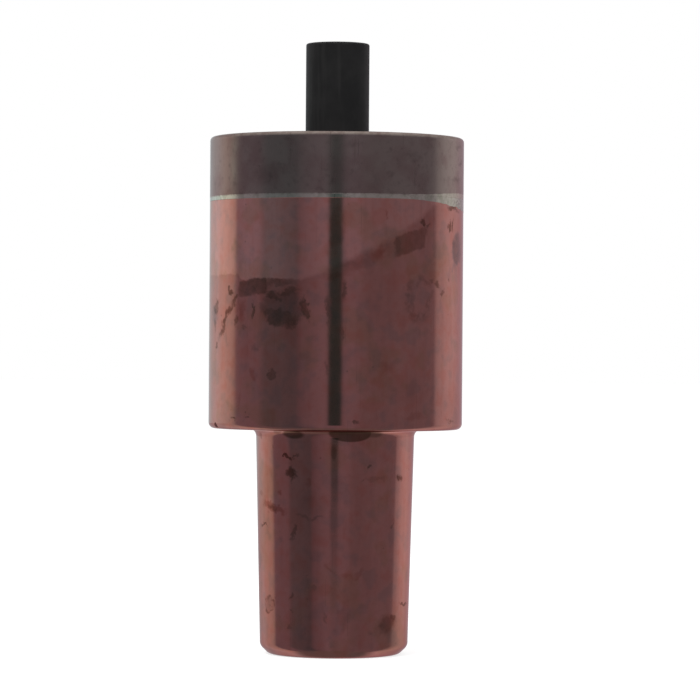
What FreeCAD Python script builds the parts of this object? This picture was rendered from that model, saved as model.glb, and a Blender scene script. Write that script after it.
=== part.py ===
import FreeCAD, Part
import math
import os

from FreeCAD import Vector

# Projection welding electrode for weld nuts. A copper head stands on a self-holding taper shank, a hard
# facing is brazed on the head, and a sprung ceramic pin comes up through both to locate the nut.
# Millimetres. The origin is the middle of the shank's end, and +Z runs from there to the working face.
# The front is -Y.

# Copper body
head_diameter = 25.4
head_height = 22.65  # copper alone, from the head's underside to the braze
head_edge_chamfer = 0.6  # on the head's lower rim
shank_large_diameter = 15.875  # the taper's large end, under the head
shank_length = 22.5
shank_taper = 1 / 20  # change of diameter over length
shank_end_chamfer = 0.85
neck_fillet = 0.75

# Facing and the braze that holds it
facing_thickness = 6.1
facing_edge_chamfer = 0.4
bore_mouth_chamfer = 0.2
braze_thickness = 0.35
runout_depth = 0.15  # braze that ran down one side, turned flush with the copper
runout_drop = 1.35  # how far it ran at the middle of its spread
runout_heading = 7.0  # degrees from +X towards +Y
runout_half_spread = 72.0  # degrees each side of that heading

# Locating pin
pin_diameter = 6.35
pin_reach = 9.45  # nose above the working face
pin_edge_chamfer = 0.2
stem_step = 0.2  # the guided stem is this much larger than the nose, on radius
stem_clearance = 0.05  # running fit in the guide bore, on radius
guide_length = 14.6  # from the working face down to the stop
flange_thickness = 2.5
flange_clearance = 0.1  # on radius, in the spring chamber
spigot_length = 2.0  # centres the spring under the flange
spigot_clearance = 0.25  # on radius, inside the spring

# Spring, closed and ground at both ends
chamber_diameter = 8.5
spring_clearance = 0.25  # on radius, in the chamber
wire_diameter = 0.9
wire_flats = 6  # the round wire's section is drawn with this many sides
spring_turns = 7.0
closed_turns = 1.0  # at each end
ramp_turns = 0.5  # over which the pitch opens
closed_gap = 0.06  # between a closed turn and the next
ground_share = 0.25  # of the wire's height, left at each ground tip
points_per_turn = 16

# Screwed plug that carries the spring
thread_diameter = 9.525
thread_length = 12.0
thread_mouth_chamfer = 0.4
thread_clearance = 0.05  # on radius
plug_length = 9.5
plug_recess = 1.2  # plug's lower end above the shank's end
plug_edge_chamfer = 0.5
socket_across_flats = 4.76
socket_depth = 4.5

# Levels up the electrode
joint_z = shank_length + head_height
facing_z = joint_z + braze_thickness
face_z = facing_z + facing_thickness
stop_z = face_z - guide_length
flange_z = stop_z - flange_thickness
plug_top_z = plug_recess + plug_length

# Radii that pieces share
head_radius = head_diameter / 2
pin_radius = pin_diameter / 2
stem_radius = pin_radius + stem_step
guide_radius = stem_radius + stem_clearance
chamber_radius = chamber_diameter / 2
thread_radius = thread_diameter / 2
spring_outer_radius = chamber_radius - spring_clearance
spring_inner_radius = spring_outer_radius - wire_diameter


def turned(profile):
    """A solid of revolution about Z from its half section, given as (radius, z) corners."""
    corners = [Vector(radius, 0, z) for radius, z in profile]
    section = Part.Face(Part.makePolygon(corners + corners[:1]))
    return section.revolve(Vector(0, 0, 0), Vector(0, 0, 1), 360)


def rim(solid, radius, z):
    """The circular edge of a turned solid nearest to this radius and height."""
    rims = [edge for edge in solid.Edges if isinstance(edge.Curve, Part.Circle)]
    return min(rims, key=lambda edge: abs(edge.Curve.Radius - radius) + abs(edge.Curve.Center.z - z))


def shank_radius(z):
    return shank_large_diameter / 2 - (shank_length - z) * shank_taper / 2


def braze_runout():
    """Thin skin of braze under the joint, bounded below by a plane that tips down towards its heading."""
    skin = Part.makeCylinder(head_radius, runout_drop, Vector(0, 0, joint_z - runout_drop))
    skin = skin.cut(Part.makeCylinder(head_radius - runout_depth, head_height, Vector(0, 0, shank_length)))
    edge_x = head_radius * math.cos(math.radians(runout_half_spread))
    tip = math.degrees(math.atan2(runout_drop, head_radius - edge_x))
    span = 4 * head_diameter
    above = Part.makeBox(span, span, span, Vector(-span / 2, -span / 2, 0))
    above.rotate(Vector(0, 0, 0), Vector(0, 1, 0), tip)
    above.translate(Vector(edge_x, 0, joint_z))
    above.rotate(Vector(0, 0, 0), Vector(0, 0, 1), runout_heading)
    return skin.common(above)


def electrode_body():
    """Head, neck and taper shank turned in one piece, bored through in three steps."""
    body = turned([
        (guide_radius, joint_z),
        (guide_radius, stop_z),
        (chamber_radius, stop_z),
        (chamber_radius, thread_length),
        (thread_radius, thread_length),
        (thread_radius, thread_mouth_chamfer),
        (thread_radius + thread_mouth_chamfer, 0),
        (shank_radius(0) - shank_end_chamfer, 0),
        (shank_radius(shank_end_chamfer), shank_end_chamfer),
        (shank_radius(shank_length), shank_length),
        (head_radius - head_edge_chamfer, shank_length),
        (head_radius, shank_length + head_edge_chamfer),
        (head_radius, joint_z),
    ])
    body = body.makeFillet(neck_fillet, [rim(body, shank_large_diameter / 2, shank_length)])
    return body.cut(braze_runout())


def braze_layer():
    disc = turned([
        (guide_radius, joint_z),
        (head_radius, joint_z),
        (head_radius, facing_z),
        (guide_radius, facing_z),
    ])
    return disc.fuse(braze_runout()).removeSplitter()


def facing_ring():
    """Hard washer with the working face on top."""
    return turned([
        (guide_radius, facing_z),
        (head_radius, facing_z),
        (head_radius, face_z - facing_edge_chamfer),
        (head_radius - facing_edge_chamfer, face_z),
        (guide_radius + bore_mouth_chamfer, face_z),
        (guide_radius, face_z - bore_mouth_chamfer),
    ])


def locating_pin():
    """Nose, guided stem, flange that meets the stop from below, and a spigot for the spring."""
    flange_radius = chamber_radius - flange_clearance
    spigot_radius = spring_inner_radius - spigot_clearance
    tip_z = face_z + pin_reach
    return turned([
        (0, flange_z - spigot_length),
        (spigot_radius, flange_z - spigot_length),
        (spigot_radius, flange_z),
        (flange_radius, flange_z),
        (flange_radius, stop_z),
        (stem_radius, stop_z),
        (stem_radius, face_z - stem_step),
        (pin_radius, face_z),
        (pin_radius, tip_z - pin_edge_chamfer),
        (pin_radius - pin_edge_chamfer, tip_z),
        (0, tip_z),
    ])


def wire_height(turn, rise):
    """Height of the wire's centre above its lower tip: flat closed turns, a ramp, then an even pitch."""
    if turn > spring_turns / 2:
        return rise - wire_height(spring_turns - turn, rise)
    closed_pitch = wire_diameter + closed_gap
    open_turns = spring_turns - 2 * closed_turns - ramp_turns
    opening = (rise - closed_pitch * spring_turns) / open_turns
    past = max(turn - closed_turns, 0)
    ramp = min(past, ramp_turns)
    return closed_pitch * turn + opening * (ramp ** 2 / (2 * ramp_turns) + past - ramp)


def pin_spring():
    """Round wire wound from the plug up to the flange, then ground flat on both seats."""
    tip_drop = wire_diameter * (0.5 - ground_share)
    rise = flange_z - plug_top_z + 2 * tip_drop
    coil_radius = spring_outer_radius - wire_diameter / 2
    path = []
    for step in range(int(spring_turns * points_per_turn) + 1):
        turn = step / points_per_turn
        angle = 2 * math.pi * turn
        z = plug_top_z - tip_drop + wire_height(turn, rise)
        path.append(Vector(coil_radius * math.cos(angle), coil_radius * math.sin(angle), z))
    line = Part.BSplineCurve()
    line.interpolate(path)
    spine = Part.Wire(line.toShape())
    outline = Part.makeCircle(wire_diameter / 2, path[0], line.tangent(line.FirstParameter)[0])
    section = Part.makePolygon(outline.discretize(wire_flats + 1))
    wire = spine.makePipeShell([section], True, True)
    between_seats = Part.makeCylinder(chamber_radius, flange_z - plug_top_z, Vector(0, 0, plug_top_z))
    return wire.common(between_seats)


def spring_plug():
    """Headless socket screw in the tapped end of the shank."""
    radius = thread_radius - thread_clearance
    plug = turned([
        (0, plug_recess),
        (radius - plug_edge_chamfer, plug_recess),
        (radius, plug_recess + plug_edge_chamfer),
        (radius, plug_top_z - plug_edge_chamfer),
        (radius - plug_edge_chamfer, plug_top_z),
        (0, plug_top_z),
    ])
    corner = socket_across_flats / math.sqrt(3)
    corners = [
        Vector(corner * math.cos(math.radians(60 * i)), corner * math.sin(math.radians(60 * i)), plug_recess)
        for i in range(7)
    ]
    socket = Part.Face(Part.makePolygon(corners)).extrude(Vector(0, 0, socket_depth))
    drill_point = Part.makeCone(
        socket_across_flats / 2, 0, socket_across_flats / 2 * math.tan(math.radians(31)),
        Vector(0, 0, plug_recess + socket_depth),
    )
    return plug.cut(socket).cut(drill_point)


os.makedirs("parts", exist_ok=True)
for make in (electrode_body, braze_layer, facing_ring, locating_pin, pin_spring, spring_plug):
    shape = make()
    shape.exportStep(f"parts/{make.__name__}.step")
    print(make.__name__, "valid", shape.isValid(), "solids", len(shape.Solids), f"{shape.Volume:.2f} mm3")
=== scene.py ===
import math
import bmesh
import bpy
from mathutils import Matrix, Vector


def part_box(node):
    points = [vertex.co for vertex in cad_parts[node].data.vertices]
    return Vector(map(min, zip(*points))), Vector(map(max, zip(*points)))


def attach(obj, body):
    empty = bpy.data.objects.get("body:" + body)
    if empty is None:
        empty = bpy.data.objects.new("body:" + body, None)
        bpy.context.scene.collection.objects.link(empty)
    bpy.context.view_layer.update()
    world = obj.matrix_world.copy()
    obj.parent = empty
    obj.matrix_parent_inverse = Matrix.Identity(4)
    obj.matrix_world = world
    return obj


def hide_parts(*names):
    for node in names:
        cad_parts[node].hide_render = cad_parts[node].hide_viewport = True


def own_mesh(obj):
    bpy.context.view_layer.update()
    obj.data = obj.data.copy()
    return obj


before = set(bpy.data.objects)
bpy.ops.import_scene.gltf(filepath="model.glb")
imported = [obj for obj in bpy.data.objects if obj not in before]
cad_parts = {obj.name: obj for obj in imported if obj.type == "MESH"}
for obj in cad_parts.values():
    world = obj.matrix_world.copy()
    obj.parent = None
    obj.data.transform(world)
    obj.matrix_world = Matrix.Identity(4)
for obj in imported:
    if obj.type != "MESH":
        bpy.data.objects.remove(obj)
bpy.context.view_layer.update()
mm = 0.001
print("frame loaded")

# Levels and radii that the pieces share, from the frame
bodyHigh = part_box("electrode_body")[1]
facingLow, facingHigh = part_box("facing_ring")
pinLow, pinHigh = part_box("locating_pin")
plugLow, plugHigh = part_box("spring_plug")
headRadius = bodyHigh.x
jointZ = bodyHigh.z
facingZ = facingLow.z
faceZ = facingHigh.z
guideRadius = 3.425 * mm
chamberRadius = 4.25 * mm


def onlyPiece(piece):
    bpy.ops.object.select_all(action="DESELECT")
    piece.select_set(True)
    bpy.context.view_layer.objects.active = piece


def editPiece(piece, mode="EDGE", everything=False):
    onlyPiece(piece)
    bpy.ops.object.mode_set(mode="EDIT")
    bpy.ops.mesh.select_mode(type=mode)
    bpy.ops.mesh.select_all(action="SELECT" if everything else "DESELECT")


def leaveEdit():
    bpy.ops.object.mode_set(mode="OBJECT")


def applyPlace(piece):
    onlyPiece(piece)
    bpy.ops.object.transform_apply(location=True, rotation=True, scale=True)


def startPiece(name):
    piece = bpy.context.active_object
    piece.name = name
    piece.data.name = name
    return piece


def growRing(old, new):
    # one more ring on a turned piece: extrude up or down, then scale about the axis
    bpy.ops.mesh.extrude_region_move(TRANSFORM_OT_translate={"value": (0, 0, new[1] - old[1])})
    share = new[0] / old[0]
    if share != 1:
        bpy.ops.transform.resize(value=(share, share, 1), center_override=(0, 0, new[1]))


def turnPiece(name, profile, sides, solid=False):
    # profile is (radius, height) corners; a solid piece starts and ends with a flat cap on the axis
    bpy.ops.object.select_all(action="DESELECT")
    bpy.ops.mesh.primitive_circle_add(vertices=sides, radius=profile[0][0], location=(0, 0, profile[0][1]),
                                      fill_type="NGON" if solid else "NOTHING", enter_editmode=True)
    piece = startPiece(name)
    bpy.ops.mesh.select_mode(type="VERT")
    bpy.ops.mesh.select_all(action="SELECT")
    path = profile if solid else profile + profile[:1]
    for old, new in zip(path, path[1:]):
        growRing(old, new)
    bpy.ops.mesh.select_all(action="SELECT")
    bpy.ops.mesh.remove_doubles(threshold=1e-7)
    bpy.ops.mesh.normals_make_consistent(inside=False)
    leaveEdit()
    applyPlace(piece)
    return piece


def selectRims(piece, rims):
    # the ring of edges at each (radius, height)
    editPiece(piece)
    mesh = bmesh.from_edit_mesh(piece.data)
    for edge in mesh.edges:
        for radius, z in rims:
            if all(abs(v.co.z - z) < 1e-6 and abs(v.co.xy.length - radius) < 1e-6 for v in edge.verts):
                edge.select = True
    mesh.select_flush_mode()
    bmesh.update_edit_mesh(piece.data)


def roundRims(piece, rims, size, segments):
    selectRims(piece, rims)
    bpy.ops.mesh.bevel(offset=size, offset_type="OFFSET", segments=segments, profile=0.5, affect="EDGES")
    leaveEdit()


def cutAway(piece, cutter, operation="DIFFERENCE"):
    # what the cutter covers leaves the piece, or with INTERSECT stays, and the cutter goes
    cut = piece.modifiers.new("cut", "BOOLEAN")
    cut.operation = operation
    cut.solver = "EXACT"
    cut.object = cutter
    onlyPiece(piece)
    bpy.ops.object.modifier_apply(modifier=cut.name)
    bpy.data.objects.remove(cutter)
    editPiece(piece, everything=True)
    bpy.ops.mesh.dissolve_degenerate(threshold=1e-6)
    leaveEdit()


def trimEnd(piece, z, keepAbove):
    # flat cut across the piece, closed again
    editPiece(piece, everything=True)
    bpy.ops.mesh.bisect(plane_co=(0, 0, z), plane_no=(0, 0, 1), use_fill=True, threshold=1e-7,
                        clear_inner=keepAbove, clear_outer=not keepAbove)
    leaveEdit()


def smoothPiece(piece, degrees=35):
    # long walls keep their own normals, and only the small rounded edges turn them
    onlyPiece(piece)
    bpy.ops.object.shade_smooth_by_angle(angle=math.radians(degrees))
    weighted = piece.modifiers.new("weighted", "WEIGHTED_NORMAL")
    weighted.keep_sharp = True
    weighted.weight = 100
    bpy.ops.object.modifier_apply(modifier=weighted.name)


def threadRod(name, thread, crest, root, low, high):
    # one tooth of the thread, screwed up the axis and trimmed flat
    pitch = thread["pitch"]
    start = low - 1.5 * pitch
    tooth = [(root, start), (root, start + thread["rootFlat"]),
             (crest, start + (pitch + thread["rootFlat"] - thread["crestFlat"]) / 2),
             (crest, start + (pitch + thread["rootFlat"] + thread["crestFlat"]) / 2), (root, start + pitch)]
    bpy.ops.object.select_all(action="DESELECT")
    bpy.ops.mesh.primitive_plane_add(size=pitch, enter_editmode=True)
    piece = startPiece(name)
    bpy.ops.mesh.select_mode(type="VERT")
    bpy.ops.mesh.select_all(action="SELECT")
    bpy.ops.mesh.merge(type="CENTER")
    bpy.ops.transform.translate(value=(tooth[0][0], 0, tooth[0][1]))
    for old, new in zip(tooth, tooth[1:]):
        move = (new[0] - old[0], 0, new[1] - old[1])
        bpy.ops.mesh.extrude_region_move(TRANSFORM_OT_translate={"value": move})
    leaveEdit()
    screw = piece.modifiers.new("screw", "SCREW")
    screw.axis = "Z"
    screw.angle = 2 * math.pi
    screw.screw_offset = pitch
    screw.iterations = math.ceil((high - low) / pitch) + 3
    screw.steps = screw.render_steps = thread["sides"]
    onlyPiece(piece)
    bpy.ops.object.modifier_apply(modifier=screw.name)
    editPiece(piece, everything=True)
    bpy.ops.mesh.remove_doubles(threshold=1e-6)
    leaveEdit()
    trimEnd(piece, low, True)
    trimEnd(piece, high, False)
    editPiece(piece, everything=True)
    bpy.ops.mesh.normals_make_consistent(inside=False)
    leaveEdit()
    return piece


def handOver(piece, body, node, material, smoothAngle=35):
    smoothPiece(piece, smoothAngle)
    piece.data.materials.clear()
    piece.data.materials.append(material)
    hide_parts(node)
    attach(piece, body)
    print(piece.name, len(piece.data.polygons), "faces")


# Camera, level with the middle of the head
view = {"away": 362 * mm, "right": 1.43 * mm, "height": 30.4 * mm, "roll": -0.41, "lens": 185.8, "sensor": 36}
cameraData = bpy.data.cameras.new("camera")
cameraData.lens = view["lens"]
cameraData.sensor_width = view["sensor"]
cameraData.sensor_fit = "HORIZONTAL"
cameraData.clip_start = 0.01
camera = bpy.data.objects.new("camera", cameraData)
camera.location = (view["right"], -view["away"], view["height"])
camera.rotation_euler = (math.radians(90), math.radians(view["roll"]), 0)
bpy.context.scene.collection.objects.link(camera)
bpy.context.scene.camera = camera
bpy.context.scene.view_settings.view_transform = "Standard"


# Short ways to write node trees
def addNode(tree, kind, inputs=None, **settings):
    node = tree.nodes.new(kind)
    for key, value in settings.items():
        setattr(node, key, value)
    for key, value in (inputs or {}).items():
        if isinstance(value, bpy.types.NodeSocket):
            tree.links.new(value, node.inputs[key])
        else:
            node.inputs[key].default_value = value
    return node


def calc(tree, operation, a, b=0.0, c=0.0, clamp=False):
    node = addNode(tree, "ShaderNodeMath", {0: a, 1: b, 2: c}, operation=operation, use_clamp=clamp)
    return node.outputs[0]


def times(tree, *values):
    total = values[0]
    for value in values[1:]:
        total = calc(tree, "MULTIPLY", total, value)
    return total


def plus(tree, a, b):
    return calc(tree, "ADD", a, b)


def minus(tree, a, b):
    return calc(tree, "SUBTRACT", a, b)


def linear(tree, value, slope, start):
    return calc(tree, "MULTIPLY_ADD", value, slope, start)


def most(tree, *values):
    total = values[0]
    for value in values[1:]:
        total = calc(tree, "MAXIMUM", total, value)
    return total


def splitPlace(tree, place):
    return addNode(tree, "ShaderNodeSeparateXYZ", {0: place}).outputs


def vecCalc(tree, operation, a, b=(0, 0, 0)):
    return addNode(tree, "ShaderNodeVectorMath", {0: a, 1: b}, operation=operation).outputs[0]


def ramp(tree, value, low, high, toLow=0.0, toHigh=1.0):
    # smooth step from low to high
    node = addNode(tree, "ShaderNodeMapRange", {0: value, 1: low, 2: high, 3: toLow, 4: toHigh},
                   interpolation_type="SMOOTHSTEP", clamp=True)
    return node.outputs[0]


def between(tree, value, zone):
    # rises from the zone's first value to its second, and falls from its third to its fourth
    start, full, fade, end = zone
    return times(tree, ramp(tree, value, start, full), ramp(tree, value, end, fade))


def mixColor(tree, factor, a, b, blend="MIX"):
    node = addNode(tree, "ShaderNodeMix", {0: factor, 6: a, 7: b}, data_type="RGBA", blend_type=blend)
    return node.outputs[2]


def noise(tree, place, scale, detail=2.0, rough=0.5, output="Fac"):
    node = addNode(tree, "ShaderNodeTexNoise", {"Vector": place, "Scale": scale, "Detail": detail,
                                                "Roughness": rough})
    return node.outputs[output]


def rgba(color):
    return (*color, 1.0)


def newGroup(name, inputs, outputs):
    kinds = {"value": "NodeSocketFloat", "vector": "NodeSocketVector", "color": "NodeSocketColor"}
    tree = bpy.data.node_groups.new(name, "ShaderNodeTree")
    for socket, kind in inputs.items():
        tree.interface.new_socket(socket, in_out="INPUT", socket_type=kinds[kind])
    for socket, kind in outputs.items():
        tree.interface.new_socket(socket, in_out="OUTPUT", socket_type=kinds[kind])
    return tree, tree.nodes.new("NodeGroupInput").outputs, tree.nodes.new("NodeGroupOutput").inputs


def useGroup(tree, group, inputs):
    return addNode(tree, "ShaderNodeGroup", inputs, node_tree=group).outputs


def newMaterial(name):
    material = bpy.data.materials.new(name)
    material.use_nodes = True
    tree = material.node_tree
    tree.nodes.clear()
    shader = tree.nodes.new("ShaderNodeBsdfPrincipled")
    output = tree.nodes.new("ShaderNodeOutputMaterial")
    tree.links.new(shader.outputs[0], output.inputs["Surface"])
    coords = tree.nodes.new("ShaderNodeTexCoord").outputs["Object"]
    place = addNode(tree, "ShaderNodeVectorMath", {0: coords, 3: 1 / mm}, operation="SCALE").outputs[0]
    return material, tree, shader, place


def finishSkin(tree, shader, color, rough, bumps, strength, depth, metal=1.0):
    tree.links.new(color, shader.inputs["Base Color"])
    tree.links.new(rough, shader.inputs["Roughness"])
    bump = addNode(tree, "ShaderNodeBump", {"Height": bumps, "Strength": strength, "Distance": depth})
    tree.links.new(bump.outputs[0], shader.inputs["Normal"])
    shader.inputs["Metallic"].default_value = metal


# Studio: what the bright metal sees. A white backdrop wraps the sides and back, and the front of the room
# is dim, with two soft panels and the dark stand of the camera between them. Azimuth 0 is the front, and
# it grows to the right. A height is the z of the direction.
studio = {
    "levels": [
        # azimuth, brightness; the ramp runs evenly from one to the next
        (-180, 0.62), (-163, 0.68), (-150, 0.82), (-137, 0.95), (-122, 0.93), (-110, 0.74), (-105, 0.60),
        (-101, 0.31), (-90, 0.28), (-74, 0.27), (-67, 0.185), (-50, 0.172), (-35.5, 0.155), (-33, 0.205),
        (-20, 0.265), (-9, 0.305), (0, 0.28), (11, 0.305), (20, 0.29), (25, 0.26), (34, 0.243),
        (52, 0.252), (62, 0.268), (92, 0.275), (100, 0.31), (104, 0.55), (112, 0.66), (122, 0.79),
        (133, 0.83), (150, 0.68), (162, 0.56), (180, 0.60),
    ],
    "tints": [
        # from this azimuth on
        (-180, (1.0, 1.14, 1.20)), (-124, (1.0, 1.0, 0.94)), (-102, (1.0, 0.90, 1.06)),
        (-68, (0.95, 1.03, 1.18)), (-34, (1.0, 0.915, 1.07)), (22, (1.0, 0.92, 1.04)),
        (103, (1.0, 0.97, 1.02)), (145, (1.0, 0.84, 0.97)),
    ],
    "stand": {
        "edges": (-8.3, -4.5, 3.8, 7.6), "narrow": 1.18, "narrowAt": (-0.06, -0.045),
        "color": (0.051, 0.090, 0.090),
        "fades": [(-0.090, -0.082, 0.66), (-0.122, -0.086, 0.34)],  # low, high, weight
    },
    "lowDown": [
        # lower down the sides differ: azimuth where it starts and is full, height likewise, share of light
        (-100, -125, -0.045, -0.065, (0.86, 0.78, 0.78)),
        (-138, -150, -0.036, -0.050, (0.97, 0.88, 0.90)),
        (106, 118, -0.036, -0.050, (1.14, 1.10, 1.06)),
        (96, 110, -0.082, -0.092, (0.88, 0.88, 0.88)),
    ],
    # the dim front brightens upwards to this level, and the stand ends a little over the camera
    "front": {"level": 0.6, "share": 0.8, "low": 0.10, "high": 0.34, "standLow": 0.085, "standHigh": 0.13},
    "above": {"from": 0.55, "full": 0.9, "level": 0.85},  # overhead light, seen by edges that face up
    "below": {"from": -0.78, "full": -0.93, "level": 0.25},  # table, seen by edges that face down
    "ambient": 0.75,
}

world = bpy.data.worlds.new("studio")
world.use_nodes = True
bpy.context.scene.world = world
tree = world.node_tree
tree.nodes.clear()
direction = tree.nodes.new("ShaderNodeTexCoord").outputs["Generated"]
parts = splitPlace(tree, direction)
azimuth = calc(tree, "ARCTAN2", parts[0], times(tree, parts[1], -1.0))
turnShare = linear(tree, azimuth, 0.5 / math.pi, 0.5)
levels = tree.nodes.new("ShaderNodeValToRGB")
levels.color_ramp.interpolation = "LINEAR"
stops = levels.color_ramp.elements
for index, (heading, level) in enumerate(studio["levels"]):
    position = heading / 360 + 0.5
    stop = stops[index] if index < 2 else stops.new(position)
    stop.position = position
    tint = [color for start, color in studio["tints"] if heading >= start][-1]
    stop.color = rgba([level * share for share in tint])
tree.links.new(turnShare, levels.inputs[0])

stand = studio["stand"]
narrowed = times(tree, azimuth, ramp(tree, parts[2], *stand["narrowAt"], stand["narrow"], 1.0))
within = between(tree, narrowed, [math.radians(edge) for edge in stand["edges"]])
share = 0.0
for low, high, weight in stand["fades"]:
    share = plus(tree, share, ramp(tree, parts[2], low, high, 0.0, weight))
within = times(tree, within, share)
front = studio["front"]
within = times(tree, within, ramp(tree, parts[2], front["standHigh"], front["standLow"]))
room = mixColor(tree, within, levels.outputs[0], rgba(stand["color"]))
for start, full, high, low, share in studio["lowDown"]:
    side = ramp(tree, azimuth, math.radians(start), math.radians(full))
    zone = times(tree, side, ramp(tree, parts[2], high, low))
    room = mixColor(tree, zone, room, rgba(share), "MULTIPLY")
frontward = ramp(tree, parts[2], front["low"], front["high"], 0.0, front["share"])
room = mixColor(tree, frontward, room, rgba([front["level"]] * 3))
for zone in (studio["above"], studio["below"]):
    upright = ramp(tree, parts[2], zone["from"], zone["full"])
    room = mixColor(tree, upright, room, rgba([zone["level"]] * 3))
lightPath = tree.nodes.new("ShaderNodeLightPath").outputs
seen = most(tree, lightPath["Is Camera Ray"], lightPath["Is Transmission Ray"])
color = mixColor(tree, lightPath["Is Glossy Ray"], rgba([studio["ambient"]] * 3), room)
color = mixColor(tree, seen, color, rgba([1.0] * 3))
background = addNode(tree, "ShaderNodeBackground", {"Color": color, "Strength": 1.0})
worldOut = tree.nodes.new("ShaderNodeOutputWorld")
tree.links.new(background.outputs[0], worldOut.inputs["Surface"])

floorLook = {"size": 6.0, "glow": 0.72, "paint": 0.42}
bpy.ops.object.select_all(action="DESELECT")
bpy.ops.mesh.primitive_plane_add(size=floorLook["size"], location=(0, 0, -0.02 * mm))
floor = startPiece("floor")
applyPlace(floor)
floorPaint = bpy.data.materials.new("floorPaint")
floorPaint.use_nodes = True
tree = floorPaint.node_tree
tree.nodes.clear()
lightPath = tree.nodes.new("ShaderNodeLightPath").outputs
seen = most(tree, lightPath["Is Camera Ray"], lightPath["Is Transmission Ray"], lightPath["Is Glossy Ray"])
glow = addNode(tree, "ShaderNodeEmission", {"Color": rgba([1.0] * 3),
                                            "Strength": times(tree, seen, floorLook["glow"])})
paint = addNode(tree, "ShaderNodeBsdfDiffuse", {"Color": rgba([floorLook["paint"]] * 3)})
both = addNode(tree, "ShaderNodeAddShader", {0: glow.outputs[0], 1: paint.outputs[0]})
clear = tree.nodes.new("ShaderNodeBsdfTransparent")
fromBelow = tree.nodes.new("ShaderNodeNewGeometry").outputs["Backfacing"]  # the shank's end shows through
both = addNode(tree, "ShaderNodeMixShader", {0: fromBelow, 1: both.outputs[0], 2: clear.outputs[0]})
output = tree.nodes.new("ShaderNodeOutputMaterial")
tree.links.new(both.outputs[0], output.inputs["Surface"])
floor.data.materials.append(floorPaint)
floor.visible_glossy = False

lampsAim = (0, 0, 25 * mm)
lamps = {
    "keyLamp": {"place": (-0.35, -0.45, 0.6), "size": 0.45, "power": 4.5},
    "fillLamp": {"place": (0.5, -0.3, 0.35), "size": 0.4, "power": 1.6},
}
for name, lamp in lamps.items():
    data = bpy.data.lights.new(name, "AREA")
    data.size = lamp["size"]
    data.energy = lamp["power"]
    light = bpy.data.objects.new(name, data)
    light.location = lamp["place"]
    aim = Vector(lampsAim) - Vector(lamp["place"])
    light.rotation_euler = aim.to_track_quat("-Z", "Y").to_euler()
    light.visible_glossy = False
    light.visible_camera = False
    bpy.context.scene.collection.objects.link(light)
print("studio ready")


# Shared groups of nodes
def makeUnrolled():
    # a turned surface laid flat: how far round from the front, how high, and how far out
    tree, inputs, outputs = newGroup("unrolled", {"Place": "vector"},
                                     {"Flat": "vector", "Radius": "value", "Height": "value", "Run": "value"})
    x, y, z = splitPlace(tree, inputs["Place"])
    radius = calc(tree, "SQRT", plus(tree, times(tree, x, x), times(tree, y, y)))
    angle = calc(tree, "ARCTAN2", x, times(tree, y, -1.0))
    flat = addNode(tree, "ShaderNodeCombineXYZ", {0: times(tree, angle, radius), 1: z})
    tree.links.new(flat.outputs[0], outputs["Flat"])
    tree.links.new(radius, outputs["Radius"])
    tree.links.new(z, outputs["Height"])
    tree.links.new(plus(tree, radius, z), outputs["Run"])
    return tree


def makeStain():
    # one oval mark on the laid-flat surface, filled or only rimmed
    tree, inputs, outputs = newGroup(
        "stain", {"Flat": "vector", "Uneven": "value", "Centre": "vector", "Reach": "vector", "Turn": "value",
                  "Edge": "value", "Fill": "value", "Rim": "value"}, {"Mask": "value"})
    away = vecCalc(tree, "SUBTRACT", inputs["Flat"], inputs["Centre"])
    turned = addNode(tree, "ShaderNodeVectorRotate", {"Vector": away, "Angle": inputs["Turn"]},
                     rotation_type="Z_AXIS").outputs[0]
    scaled = vecCalc(tree, "DIVIDE", turned, inputs["Reach"])
    distance = addNode(tree, "ShaderNodeVectorMath", {0: scaled}, operation="LENGTH").outputs[1]
    fill = times(tree, ramp(tree, distance, 1.0, minus(tree, 1.0, inputs["Edge"])), inputs["Fill"])
    offRim = calc(tree, "ABSOLUTE", minus(tree, distance, 0.84))
    rim = times(tree, ramp(tree, offRim, 0.3, 0.0), inputs["Rim"], inputs["Uneven"])
    tree.links.new(most(tree, fill, rim), outputs["Mask"])
    return tree


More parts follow.
